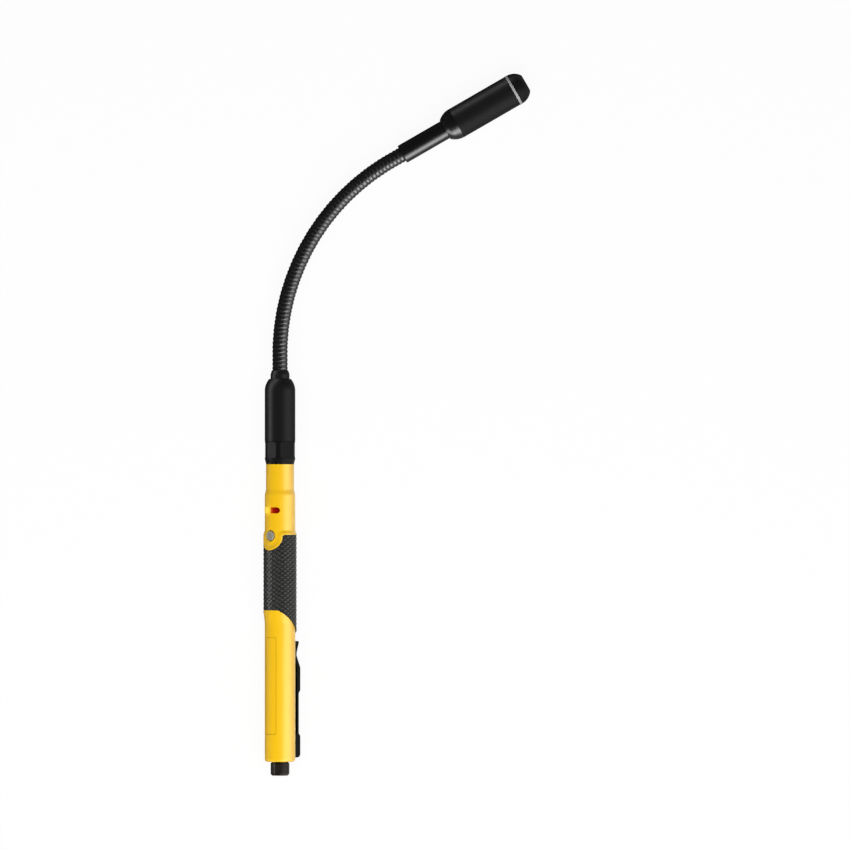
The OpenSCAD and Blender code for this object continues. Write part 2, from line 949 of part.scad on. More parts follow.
module nose_cap() {
    plug_r = head_bore - fit / 2;
    color("#19191a") on_head() difference() {
        union() {
            translate([0, 0, nose_z]) rotate_extrude() arc_end(head_r, tip_r, nose_len);
            translate([0, 0, nose_z - socket_len]) cylinder(r = plug_r, h = socket_len + eps);
        }
        translate([0, 0, nose_z - socket_len - eps])
            cylinder(r = plug_r - socket_wall, h = socket_len + eps);
        cylinder(r = well_r, h = filter_z);
        translate([0, 0, nose_z]) cylinder(r = filter_r + fit / 2, h = nose_len - lip);
        translate([0, 0, nose_z]) cylinder(r = inlet_r, h = nose_len + eps);
    }
}

module filter_disc() {
    color("#8d8f90") on_head() translate([0, 0, filter_z]) cylinder(r = filter_r, h = filter_t);
}

module sensor_pins(r, len) {
    for (a = [45:90:315])
        rotate([0, 0, a]) translate([pin_ring, 0, -len]) cylinder(r = r, h = len, $fn = 20);
}

module gas_sensor() {
    rim_h = 0.6;
    rim_w = 0.4;
    color("#c4c4be") on_head() translate([0, 0, nose_z]) {
        cylinder(r = can_r + rim_w, h = rim_h);
        cylinder(r = can_r, h = can_h);
        translate([0, 0, eps]) sensor_pins(pin_r, board_t + pin_len + eps);
    }
}

module sensor_board() {
    r = head_bore - fit / 2 - socket_wall - fit / 2;
    color("#1f6b3a") on_head() translate([0, 0, nose_z - board_t]) difference() {
        cylinder(r = r, h = board_t);
        translate([0, 0, board_t + eps]) sensor_pins(pin_r + fit / 2, board_t + 2 * eps);
    }
}

tail_cap();
cap_seal();
tail_spring();
barrel();
grip_sleeve();
push_button();
switch_plunger();
tact_switch();
lamp_window();
lamp();
circuit_board();
buzzer();
cell_rear();
cell_front();
cell_tube();
front_contact();
pocket_clip();
coupling_ring();
boot_seal();
neck_boot();
root_nut();
neck_collar();
neck_root();
for (k = [1:link_count])
    neck_link(k);
neck_tip();
head_stem();
head_rear();
head_housing();
mark_ring();
nose_cap();
filter_disc();
gas_sensor();
sensor_board();
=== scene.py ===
"""Looks of a pen-type leak detector with a bendable neck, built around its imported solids."""

import json
import math

import bpy
import numpy as np
from bpy.props import FloatProperty, FloatVectorProperty, IntProperty, PointerProperty
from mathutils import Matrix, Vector


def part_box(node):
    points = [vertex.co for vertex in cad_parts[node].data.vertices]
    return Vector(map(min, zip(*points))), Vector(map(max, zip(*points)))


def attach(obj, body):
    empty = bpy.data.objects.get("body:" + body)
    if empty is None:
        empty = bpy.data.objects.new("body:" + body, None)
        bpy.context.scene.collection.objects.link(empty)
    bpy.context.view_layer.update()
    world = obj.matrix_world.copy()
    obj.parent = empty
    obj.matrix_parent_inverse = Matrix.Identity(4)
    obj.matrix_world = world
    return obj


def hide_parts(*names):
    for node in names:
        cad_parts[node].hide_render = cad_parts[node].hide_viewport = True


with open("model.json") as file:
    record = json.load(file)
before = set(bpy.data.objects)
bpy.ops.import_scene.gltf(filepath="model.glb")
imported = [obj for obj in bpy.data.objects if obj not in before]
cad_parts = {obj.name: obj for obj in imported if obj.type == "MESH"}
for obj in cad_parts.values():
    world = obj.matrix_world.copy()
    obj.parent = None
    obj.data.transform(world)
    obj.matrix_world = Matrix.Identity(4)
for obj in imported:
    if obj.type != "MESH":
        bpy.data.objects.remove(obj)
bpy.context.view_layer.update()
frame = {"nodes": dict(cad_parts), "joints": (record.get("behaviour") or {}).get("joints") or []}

bl_info = {
    "name": "Leak detector looks",
    "version": (1, 0, 0),
    "blender": (4, 5, 0),
    "location": "View3D > Sidebar > Detector",
    "description": "Grip, wound neck, finishes and stage for a leak detector",
    "category": "Object",
}

MM = 0.001
LINKS = 27
BENDS = (LINKS + 1) // 2

# Names along the neck: its joints, the bodies they join, their nodes and the pieces that replace them
NUMBERS = [f"{k:02d}" for k in range(1, LINKS + 1)]
JOINTS = [f"neck_{way}_{k:02d}" for k in range(1, BENDS + 1) for way in ("sway", "bend")]
CHAIN = ["handle", *(f"link_{k}" for k in NUMBERS), "head"]
STRETCHES = ["neck_root", *(f"neck_link_{k}" for k in NUMBERS), "neck_tip"]
WINDINGS = ["neck_root_winding", *(f"neck_winding_{k}" for k in NUMBERS), "neck_tip_winding"]

# Pieces that a lamp of their own shines on
DARK = ["coupling_ring", "neck_boot", "neck_collar", "head_housing", "nose_cap", "tail_cap", "grip_diamonds"]
GLOSSY = ["head_stem", "head_rear", *WINDINGS]

# Points of the grids
COLUMNS = 336
GRIP_ROWS, GRIP_RIM_ROWS = 204, 70
UPPER_ROWS = 150
EDGE_ROWS = np.array([0, 0.06, 0.15, 0.3]) * MM
CROWN_ROWS, SEAT_ROWS = 17, 9

# Depth of the grain on the boot, the ring and the head
FINE_GRAIN = 0.008 * MM


# Places taken from the frame


def middle(node):
    """The middle of a node's box at rest."""
    low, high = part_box(node)
    return (low + high) / 2


def handle_axis():
    """The handle's axis as (x, z): the middle of the round seal inside it."""
    centre = middle("boot_seal")
    return centre.x, centre.z


def front_angle():
    """Turn of the handle's front from straight up, read from where the lamp sits."""
    axis_x, axis_z = handle_axis()
    lamp = middle("lamp")
    return math.atan2(lamp.x - axis_x, lamp.z - axis_z)


def joint_at(name):
    """A joint's place in the frame."""
    return np.array(next(j["pos_m"] for j in frame["joints"] if j["name"] == name), float)


def largest_turn():
    """The most that two neighbouring links turn from straight, in radians."""
    low, high = next(j["range_deg"] for j in frame["joints"] if j["name"] == JOINTS[1])
    return math.radians(high - low) / 2


# Settings


def length(name, description, default):
    """A length in metres."""
    return FloatProperty(
        name=name, description=description, default=default, min=0, precision=5, unit="LENGTH"
    )


def colour(name, description, default):
    """A linear colour."""
    return FloatVectorProperty(
        name=name, description=description, default=default, size=3, min=0, max=1, subtype="COLOR"
    )


def level(name, description, default):
    """A brightness."""
    return FloatProperty(name=name, description=description, default=default, min=0)


class BarrelSettings(bpy.types.PropertyGroup):
    """Sizes of the moulded barrel that the frame's boxes don't give"""

    radius: length("Radius", "Outside radius of the barrel", 11 * MM)
    flare: length("Flare", "Length of the flare below the grip", 9 * MM)
    shoulder: length("Shoulder", "Width of the lip that rises to the grip's top edge", 3.4 * MM)
    upper: length("Upper", "Distance from the grip's top edge to the step", 28.7 * MM)
    step: length("Step", "Length of the step", 3.7 * MM)
    band: length("Band", "Radius of the band above the step", 10.1 * MM)
    corner: length("Corner", "Radius of the tail's corner", 2 * MM)
    panel_start: length("Panel start", "Distance from the tail to the front panel", 19.8 * MM)
    panel_length: length("Panel length", "Length of the front panel", 69.9 * MM)
    panel_width: length("Panel width", "Width of the front panel", 10 * MM)
    panel_depth: length("Panel depth", "Depth of the front panel", 0.3 * MM)
    panel_corner: length("Panel corner", "Radius of the front panel's corners", 1.2 * MM)
    tuck: length("Tuck", "Radius of the edge beside the grip", 0.28 * MM)
    well_inset: length("Well inset", "Distance of the button well's foot inside the button's rim", 0.8 * MM)
    well_floor: length("Well floor", "Radius of the barrel under the button", 8.3 * MM)
    slot_half: length("Slot half", "Half of the lamp slot's length", 7.5 * MM)
    slot_depth: length("Slot depth", "Depth of the lamp slot", 1.2 * MM)
    bead_place: length("Bead place", "Distance from the tail to the hole for the clip's bead", 6.3 * MM)
    bead_half_width: length("Bead half width", "Half of that hole's width", 3.3 * MM)
    bead_half_length: length("Bead half length", "Half of that hole's length", 1.5 * MM)
    bead_depth: length("Bead depth", "Depth of that hole", 2.6 * MM)
    spigot: length("Spigot", "Radius of the spigot inside the coupling ring", 9.3 * MM)
    bore: length("Bore", "Radius of the bore round the cell tube", 8.2 * MM)
    shank_bore: length("Shank bore", "Radius of the hole for the tail cap's shank", 5.95 * MM)
    seal_bore: length("Seal bore", "Radius of the recess for the tail cap's seal", 6.95 * MM)
    seal_depth: length("Seal depth", "Depth of that recess", 1.1 * MM)


class GripSettings(bpy.types.PropertyGroup):
    """Sizes of the overmoulded grip and its raised diamonds"""

    front_length: length("Front length", "Length of the grip on its front side", 54.4 * MM)
    front_cut: length("Front cut", "Depth of the flat stretch of its lower edge", 2 * MM)
    wall: length("Wall", "Thickness of the grip", 1.3 * MM)
    tab_radius: length("Tab radius", "Radius of the tab that its top edge runs round", 9.3 * MM)
    tab_drop: length("Tab drop", "Distance of the tab's middle below the top edge", 1.9 * MM)
    tab_corner: length("Tab corner", "Radius of the corner between tab and top edge", 1.2 * MM)
    diamonds: IntProperty(name="Diamonds", description="Diamonds round the grip", default=15, min=6)
    pitch: length("Pitch", "Distance from diamond to diamond along the grip", 3.2 * MM)
    relief: length("Relief", "Depth of the grooves between diamonds", 0.6 * MM)
    edge: length("Edge", "Radius of the grip's rounded edges", 0.35 * MM)


class NeckSettings(bpy.types.PropertyGroup):
    """Sizes of the neck's wound wire"""

    radius: length("Radius", "Outside radius of the windings", 5.55 * MM)
    pitch: length("Pitch", "Distance from winding to winding", 3 * MM)
    groove: length("Groove", "Depth of the slot between windings", 0.28 * MM)
    clearance: length("Clearance", "Room between a link's round seat and its neighbour", 0.06 * MM)
    lip: length("Lip", "Least wall of a link round its neighbour's seat", 0.12 * MM)
    root_steps: FloatProperty(name="Root steps", description="Links' lengths in the fixed root", default=2)
    tip_steps: FloatProperty(name="Tip steps", description="Links' lengths in the fixed tip", default=2.5)
    slack: FloatProperty(name="Slack", description="Room for the turn, as a multiple of it", default=1.06, min=1)
    squareness: FloatProperty(
        name="Squareness", description="How flat the crown of a winding is", default=6, min=2
    )
    sides: IntProperty(name="Sides", description="Points round the neck", default=56, min=12)


class ColourSettings(bpy.types.PropertyGroup):
    """Colours of the finishes"""

    yellow: colour("Yellow", "Moulded barrel", (0.96, 0.56, 0.004))
    grip: colour("Grip", "Soft grip", (0.027, 0.027, 0.026))
    satin: colour("Satin", "Boot, ring and head", (0.008, 0.008, 0.008))
    gloss: colour("Gloss", "Stem and rear of the head", (0.003, 0.003, 0.003))
    nose: colour("Nose", "Nose of the head", (0.006, 0.006, 0.006))
    cap: colour("Cap", "Tail cap", (0.010, 0.0068, 0.0045))
    clip: colour("Clip", "Pocket clip", (0.002, 0.002, 0.002))
    wire: colour("Wire", "Wound neck", (0.004, 0.004, 0.004))
    ring: colour("Ring", "Pale ring behind the nose", (0.37, 0.37, 0.37))
    metal: colour("Metal", "Button", (0.46, 0.43, 0.35))


class StageSettings(bpy.types.PropertyGroup):
    """Camera, lamps and floor"""

    centre: FloatVectorProperty(
        name="Centre", description="Point that the camera looks down on", subtype="XYZ", size=2,
        default=(20.3 * MM, -0.3 * MM),
    )
    span: length("Span", "Width of the view at the handle's height", 0.612)
    distance: length("Distance", "Height of the camera above the handle", 8.0)
    fill: level("Fill", "Brightness of the panel above, which only lights", 2.65)
    right: level("Right", "Brightness of the right card, which only shines", 3.0)
    strip: level("Strip", "Brightness of the strip and the low card on neck and head", 6.5)
    left: level("Left", "Brightness of the left card on the dark pieces", 9.0)
    right_fill: level("Right fill", "Brightness of the right fill, which only lights", 0.3)
    left_fill: level("Left fill", "Brightness of the left fill, which only lights", 0.26)
    sky: level("Sky", "Brightness of the room", 0.08)
    glow: level("Glow", "Share of white that the floor shows to the camera and in reflections", 0.93)
    floor: colour("Floor", "Colour of the floor", (0.9, 0.9, 0.9))


# Meshes


def add_mesh(name, points, close_u=False, close_v=False, caps=False, sharp=40, uv=None, mark=None):
    """An object from a grid of points: each cell is a quad, and a direction may close on itself.
    With caps, the first and last row of a grid closed in v each become one flat face. A mark gives each point
    a number from 0 to 1 that its material may read."""
    nu, nv = points.shape[:2]
    index = np.arange(nu * nv).reshape(nu, nv)
    iu = np.arange(nu if close_u else nu - 1)
    iv = np.arange(nv if close_v else nv - 1)
    a, b = np.meshgrid(iu, iv, indexing="ij")
    a2, b2 = (a + 1) % nu, (b + 1) % nv
    quads = np.stack([index[a, b], index[a2, b], index[a2, b2], index[a, b2]], -1).reshape(-1, 4)
    corners = quads.ravel()
    totals = np.full(len(quads), 4)
    if caps:
        corners = np.concatenate([corners, index[0], index[-1][::-1]])
        totals = np.concatenate([totals, [nv, nv]])
    mesh = bpy.data.meshes.new(name)
    mesh.vertices.add(nu * nv)
    mesh.vertices.foreach_set("co", points.astype(np.float32).ravel())
    mesh.loops.add(len(corners))
    mesh.loops.foreach_set("vertex_index", corners.astype(np.int32))
    mesh.polygons.add(len(totals))
    starts = np.concatenate([[0], np.cumsum(totals)[:-1]])
    mesh.polygons.foreach_set("loop_start", starts.astype(np.int32))
    mesh.polygons.foreach_set("use_smooth", np.ones(len(totals), bool))
    mesh.update(calc_edges=True)
    mesh.validate()
    mesh.set_sharp_from_angle(angle=math.radians(sharp))
    if uv is not None:
        layer = mesh.uv_layers.new(name="Surface")
        layer.data.foreach_set("uv", uv.reshape(-1, 2)[corners].astype(np.float32).ravel())
    if mark is not None:
        layer = mesh.attributes.new("mark", "FLOAT", "POINT")
        layer.data.foreach_set("value", mark.astype(np.float32).ravel())
    obj = bpy.data.objects.new(name, mesh)
    bpy.context.scene.collection.objects.link(obj)
    return obj


def smoothstep(low, high, x):
    """0 below low, 1 above high, and a smooth cubic between."""
    t = np.clip((x - low) / (high - low), 0, 1)
    return t * t * (3 - 2 * t)


def near_line(x):
    """Distance of x from the nearest whole number."""
    return np.abs(x - np.round(x))


def grip_edges(s):
    """Radius, lower edge and top edge of the grip as functions of the angle from the front, and the angles of the
    columns that the grip and the barrel share, spaced by the length of the top edge."""
    low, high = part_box("grip_sleeve")
    radius = (high.x - low.x) / 2
    top, front_edge = high.y, high.y - s.front_length
    flat = radius - s.front_cut

    def lower(a):
        share = (flat - radius * np.cos(a)) / (radius + flat)
        return front_edge - (front_edge - low.y) * np.clip(share, 0, 1)

    def upper(a):
        side = np.abs(radius * np.sin(a))
        inside = (side < s.tab_radius) & (np.cos(a) > 0)
        dip = np.sqrt(np.clip(s.tab_radius**2 - side**2, 0, None))
        past = np.clip(s.tab_radius + s.tab_corner - side, 0, s.tab_corner)
        corner = s.tab_corner - np.sqrt(s.tab_corner**2 - past**2)
        beside = np.where(np.cos(a) > 0, top - corner, top)
        return np.where(inside, top - s.tab_drop - dip, beside)

    fine = np.linspace(-math.pi, math.pi, 40001)
    run = np.hypot(np.diff(upper(fine)), radius * np.diff(fine)) + radius * np.diff(fine)
    run = np.concatenate([[0], np.cumsum(run)])
    angle = np.interp(np.arange(COLUMNS) / COLUMNS * run[-1], run, fine)[:, None]
    return radius, lower, upper, angle


def round_handle(angle, r, y):
    """Points at a radius and an angle from the front, round the handle's axis."""
    axis_x, axis_z = handle_axis()
    turn = angle + front_angle()
    return np.stack(np.broadcast_arrays(axis_x + r * np.sin(turn), y, axis_z + r * np.cos(turn)), axis=-1)


def grip_points(s):
    """The grip as a tube closed both ways. Round it runs the angle from the front, along it the share
    of the way from the slanted lower edge to the top edge, which runs round the button's tab. The
    outside stands at the node's radius less the diamonds' grooves and a rounded edge; the
    diamonds are the cells between the lines where turn share plus or minus station is whole. The mark
    runs from 0 in the grooves to 1 on the diamonds' crowns."""
    radius, lower, upper, angle = grip_edges(s)
    y0, y1 = lower(angle), upper(angle)
    edge = np.array([0, 0.04, 0.12, 0.24, 0.38]) * MM
    inner = edge[-1]
    split = float(upper(0.0)) - MM
    body = np.linspace(0, 1, GRIP_ROWS, endpoint=False)[None, :]
    rim = np.linspace(0, 1, GRIP_RIM_ROWS)[None, :]
    y = np.concatenate([
        y0 + edge[:-1],
        y0 + inner + body * (split - y0 - inner),
        split + rim * (y1 - inner - split),
        y1 - edge[-2::-1],
    ], axis=1)
    from_edge = np.minimum(y - y0, y1 - y)
    bite = np.clip(s.edge - from_edge, 0, s.edge)
    rounding = s.edge - np.sqrt(np.clip(s.edge**2 - bite**2, 0, None))
    p = angle * s.diamonds / (2 * math.pi)
    q = (y - lower(0.0)) / s.pitch
    gap = np.minimum(near_line(p + q), near_line(p - q))
    pad = 0.7 * (1 - (1 - 2 * gap) ** 2) + 0.3 * smoothstep(0.02, 0.14, gap)
    calm = 0.55 + 0.45 * smoothstep(math.radians(6), math.radians(22), np.abs(angle))
    depth = s.relief * calm * smoothstep(0.2 * MM, 0.9 * MM, from_edge)
    outside = radius - rounding - depth * (1 - pad)
    inside = np.full_like(y0, radius - s.wall)
    # the mark darkens the grooves as painted shade and lightens the worn crowns
    mark = np.concatenate([pad, np.zeros_like(y0), np.zeros_like(y0)], axis=1)
    r_all = np.concatenate([outside, inside, inside], axis=1)
    y_all = np.concatenate([y, y1, y0], axis=1)
    return round_handle(angle, r_all, y_all), mark


def box_distance(x, y, half_x, half_y, corner):
    """Distance outside a rectangle with round corners about the origin; negative inside it."""
    ax, ay = np.abs(x) - half_x + corner, np.abs(y) - half_y + corner
    return np.hypot(np.maximum(ax, 0), np.maximum(ay, 0)) + np.minimum(np.maximum(ax, ay), 0) - corner


def lower_rows(s, front_run):
    """Stations from the tail to the grip's lower edge, close together at the tail's corner and the panel's ends."""
    panel_end = s.panel_start + s.panel_length
    corner = s.corner * (1 - np.cos(np.linspace(0, math.pi / 2, 9)[1:]))
    close = np.arange(-1.2, 1.21, 0.24) * MM
    return np.concatenate([
        corner,
        np.linspace(s.corner + MM, s.panel_start - 1.6 * MM, 24),
        s.panel_start + close,
        np.linspace(s.panel_start + 2 * MM, panel_end - 2 * MM, 22),
        panel_end + close,
        np.linspace(panel_end + 1.6 * MM, front_run - 0.6 * MM, 18),
        front_run - EDGE_ROWS[::-1],
    ])


def lower_barrel(s, grip_r, lower, angle):
    """Stations, radii and the band along the panel's edge that is darkened as painted shade, below the grip: a round
    tail corner, a flare toward the grip, a sunk front panel and a hole for the clip's bead on the back."""
    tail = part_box("barrel")[0].y
    front_run = float(lower(0.0)) - tail
    y = tail + (lower(angle) - tail) * lower_rows(s, front_run)[None, :] / front_run
    from_tail = y - tail
    side, front = s.radius * np.sin(angle), np.cos(angle) > 0
    bite = np.clip(s.corner - from_tail, 0, s.corner)
    r = s.radius - s.corner + np.sqrt(s.corner**2 - bite**2)
    r += np.clip((from_tail - front_run + s.flare) / s.flare, 0, 1) * (grip_r - s.radius)
    along = from_tail - s.panel_start - s.panel_length / 2
    panel = box_distance(side, along, s.panel_width / 2, s.panel_length / 2, s.panel_corner)
    r -= np.where(front, s.panel_depth * (1 - smoothstep(-0.22 * MM, 0.05 * MM, panel)), 0)
    bead = box_distance(side, from_tail - s.bead_place, s.bead_half_width, s.bead_half_length, 0.2 * MM)
    r -= np.where(front, 0, s.bead_depth * (1 - smoothstep(-0.3 * MM, 0, bead)))
    # painted shade: a thin band along the sunk panel's edge, where the barrel's material darkens the yellow
    panel_edge_shade = np.where(front, 1 - smoothstep(0.08 * MM, 0.36 * MM, np.abs(panel + 0.1 * MM)), 0)
    return y, r, panel_edge_shade


def tab_inset(g, side, above):
    """How far a point lies inside the tab, whose outline is an arc with a hollow corner at each end. Above is
    measured from the grip's top edge."""
    in_arc = g.tab_radius - np.hypot(side, np.minimum(above + g.tab_drop, 0))
    corner_x = np.abs(side) - g.tab_radius - g.tab_corner
    corner_y = above + g.tab_corner
    in_corner = np.where((corner_x < 0) & (corner_y > 0), np.hypot(corner_x, corner_y) - g.tab_corner, -1)
    return np.maximum(in_arc, in_corner)


def upper_barrel(s, g, grip_r, upper, angle):
    """Stations and radii above the grip: a lip that falls away from the grip's top edge and round the tab, wells for
    button and lamp, the step and the band."""
    top, ring_y = float(upper(math.pi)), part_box("coupling_ring")[0].y
    step_y = top + s.upper
    first = upper(angle) + 0.55 * MM
    share = np.linspace(0, 1, UPPER_ROWS)[None, :]
    step_rows = step_y + np.linspace(0, 1, 5) * s.step
    band_rows = [step_y + s.step + 0.3 * MM, ring_y - 0.3 * MM, ring_y - 0.02 * MM]
    y_band = np.concatenate([step_rows, band_rows])
    y = np.concatenate([
        upper(angle) + EDGE_ROWS,
        first + share * (step_y - 0.2 * MM - first),
        np.broadcast_to(y_band, (COLUMNS, len(y_band))),
    ], axis=1)
    side, front = s.radius * np.sin(angle), np.cos(angle) > 0
    inward = np.maximum(np.where(front, tab_inset(g, grip_r * np.sin(angle), y - top), -1), y - top)
    lip = (grip_r - s.radius) * (1 - smoothstep(0.3 * MM, s.shoulder, inward))
    bite = np.clip(s.tuck - inward, 0, s.tuck)
    r = s.radius + lip - s.tuck + np.sqrt(s.tuck**2 - bite**2)
    low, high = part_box("push_button")
    hole = np.hypot(side, y - middle("push_button").y) - (high.y - low.y) / 2 + s.well_inset
    r += np.where(front, 1 - smoothstep(0.05 * MM, 0.75 * MM, hole), 0) * (s.well_floor - r)
    low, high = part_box("lamp_window")
    half = (high.y - low.y) / 2
    slot = box_distance(side, y - middle("lamp_window").y, s.slot_half, half, half)
    r -= np.where(front, s.slot_depth * (1 - smoothstep(-0.45 * MM, -0.1 * MM, slot)), 0)
    r -= (s.radius - s.band) * np.clip((y - step_y) / s.step, 0, 1)
    return y, r


def barrel_points(s, g):
    """The barrel as a tube closed both ways, on the grip's columns: the outside below the grip, a stretch under
    the grip, the outside above it, and back through the bore, each a radius as a function of angle and station.
    The mark is 1 along the panel's edge, where the yellow is darkened as painted shade."""
    grip_r, lower, upper, angle = grip_edges(g)
    tail, spigot_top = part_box("barrel")[0].y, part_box("barrel")[1].y
    ring_y, wall_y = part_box("coupling_ring")[0].y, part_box("cell_tube")[0].y
    y_low, r_low, panel_edge_shade = lower_barrel(s, grip_r, lower, angle)
    y_up, r_up = upper_barrel(s, g, grip_r, upper, angle)
    lap = 0.02 * MM
    under = np.full_like(angle, grip_r - g.wall - 0.05 * MM)
    bore = np.array([
        (s.band, ring_y),
        (s.spigot, ring_y),
        (s.spigot, spigot_top),
        (s.bore, spigot_top),
        (s.bore, wall_y),
        (s.shank_bore, wall_y),
        (s.shank_bore, tail + s.seal_depth),
        (s.seal_bore, tail + s.seal_depth),
        (s.seal_bore, tail),
        (s.radius - s.corner, tail),
    ])
    r_in, y_in = (np.broadcast_to(column, (COLUMNS, len(bore))) for column in bore.T)
    r = np.concatenate([r_low, under, under, r_up, r_in], axis=1)
    y = np.concatenate([y_low, lower(angle) + lap, upper(angle) - lap, y_up, y_in], axis=1)
    mark = np.zeros_like(r)
    # the mark carries the painted shade along the panel's edge
    mark[:, : panel_edge_shade.shape[1]] = panel_edge_shade
    return round_handle(angle, r, y), mark


def neck_path(station):
    """Point and side of the neck's middle line at stations measured from its first joint: straight,
    then one arc to the head's heading, then straight again."""
    first, second, before, last = (joint_at(JOINTS[k]) for k in (0, 1, -2, -1))
    step = np.linalg.norm(second - first)
    end_heading = math.atan2(last[0] - before[0], last[1] - before[1])
    turn = end_heading * BENDS / (BENDS - 1)
    arc_radius = step / math.tan(turn / BENDS / 2)
    whole = 2 * BENDS * step
    on_arc = np.clip(station, 0, whole)
    heading = on_arc / whole * turn
    past = np.where(station > whole, station - whole, np.minimum(station, 0))
    x = first[0] + arc_radius * (1 - np.cos(heading)) + past * np.sin(heading)
    y = first[1] + arc_radius * np.sin(heading) + past * np.cos(heading)
    centre = np.stack([x, y, np.full_like(x, first[2])], -1)
    side = np.stack([np.cos(heading), -np.sin(heading), np.zeros_like(x)], -1)
    return centre, side


def winding_points(s, start, end, count, seated, hollowed):
    """A rigid stretch of wound wire round the line from start to end: windings whose radius falls from the crown
    by a power of the distance from its middle, with a slot between each two. A seated stretch starts with part
    of a ball and a hollowed one ends with part of a cup, each centred on the joint there. The slots' walls keep
    off by half of the largest turn, so neighbours turn without touching."""
    seat = s.radius - s.groove
    cup = seat + s.clearance
    rim = cup + s.lip
    lean = s.slack * largest_turn() / 2
    across = np.sin(np.linspace(-math.pi / 2, math.pi / 2, CROWN_ROWS))
    crown = across * (s.pitch / 2 - rim * math.tan(lean))
    along = ((np.arange(count)[:, None] + 0.5) * s.pitch + crown).ravel()
    radius = np.tile(seat + s.groove * (1 - np.abs(across) ** s.squareness), count)
    first = [0.0], [seat]
    last = [count * s.pitch], [seat]
    if seated:
        polar = np.linspace(math.radians(-25), lean, SEAT_ROWS)
        first = seat * np.sin(polar), seat * np.cos(polar)
    if hollowed:
        polar = np.linspace(lean, math.radians(45), SEAT_ROWS)
        last = count * s.pitch - cup * np.sin(polar), cup * np.cos(polar)
        shoulder = slice(-(CROWN_ROWS // 2), None)
        radius[shoulder] = np.maximum(radius[shoulder], rim)
    along = np.concatenate([first[0], along, last[0]])
    radius = np.concatenate([first[1], radius, last[1]])
    axis = (end - start) / np.linalg.norm(end - start)
    up = np.array([0.0, 0.0, 1.0])
    side = np.cross(axis, up)
    turn = np.linspace(0, 2 * math.pi, s.sides, endpoint=False)
    ring = np.cos(turn)[:, None] * side + np.sin(turn)[:, None] * up
    points = start + along[:, None, None] * axis + radius[:, None, None] * ring
    uv = np.stack(np.meshgrid(along, turn * s.radius, indexing="ij"), -1)
    return points, uv


def mesh_disc_points(node, direction):
    """A woven disc: rings from near the middle to the rim, lifted by round wires two ways that wave over and under
    each other."""
    low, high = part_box(node)
    centre = np.array((low + high) / 2)
    axis, up = np.array(direction), np.array([0, 0, 1.0])
    side = np.cross(up, axis)
    radius, thick = (high.z - low.z) / 2 - 0.02 * MM, 1.2 * MM
    pitch, half_wire, wire = 0.62 * MM, 0.34, 0.28 * MM
    sunk = 0.3 * MM
    rho = np.linspace(0.02, 1, 64)[:, None] * radius
    turn = np.linspace(0, 2 * math.pi, 144, endpoint=False)[None, :]
    u, v = rho * np.cos(turn), rho * np.sin(turn)
    row, column = np.round(v / pitch), np.round(u / pitch)
    along_u = np.sqrt(np.clip(1 - ((v / pitch - row) / half_wire) ** 2, 0, None))
    along_v = np.sqrt(np.clip(1 - ((u / pitch - column) / half_wire) ** 2, 0, None))
    over = np.cos(math.pi * u / pitch) * np.where(row % 2 == 0, 1, -1)
    under = np.cos(math.pi * v / pitch) * np.where(column % 2 == 0, -1, 1)
    lift = np.maximum(along_u * (0.6 + 0.4 * over), along_v * (0.6 + 0.4 * under))
    height = thick / 2 - sunk + wire * lift
    flat = centre + u[..., None] * side + v[..., None] * up
    top = flat + height[..., None] * axis
    bottom = flat[[-1, 0]] - thick / 2 * axis
    return np.concatenate([top, bottom], axis=0)


# Finishes


class Value:
    """A shader socket in an expression: each operator adds one Math node."""

    def __init__(self, finish, socket):
        self.finish, self.socket = finish, socket

    def math(self, operation, *others, first=None):
        """A Math node on this value and others, or on another value that comes first."""
        values = [self, *others] if first is None else [first, self]
        return self.finish.add("ShaderNodeMath", {"operation": operation}, dict(enumerate(values)))

    def __add__(self, other):
        return self.math("ADD", other)

    __radd__ = __add__

    def __sub__(self, other):
        return self.math("SUBTRACT", other)

    def __rsub__(self, other):
        return self.math("SUBTRACT", first=other)

    def __mul__(self, other):
        return self.math("MULTIPLY", other)

    __rmul__ = __mul__

    def __truediv__(self, other):
        return self.math("DIVIDE", other)

    def __rtruediv__(self, other):
        return self.math("DIVIDE", first=other)

    def __pow__(self, other):
        return self.math("POWER", other)

    def clamp(self):
        """The value held between 0 and 1."""
        return self.math("MINIMUM", 1.0).math("MAXIMUM", 0.0)


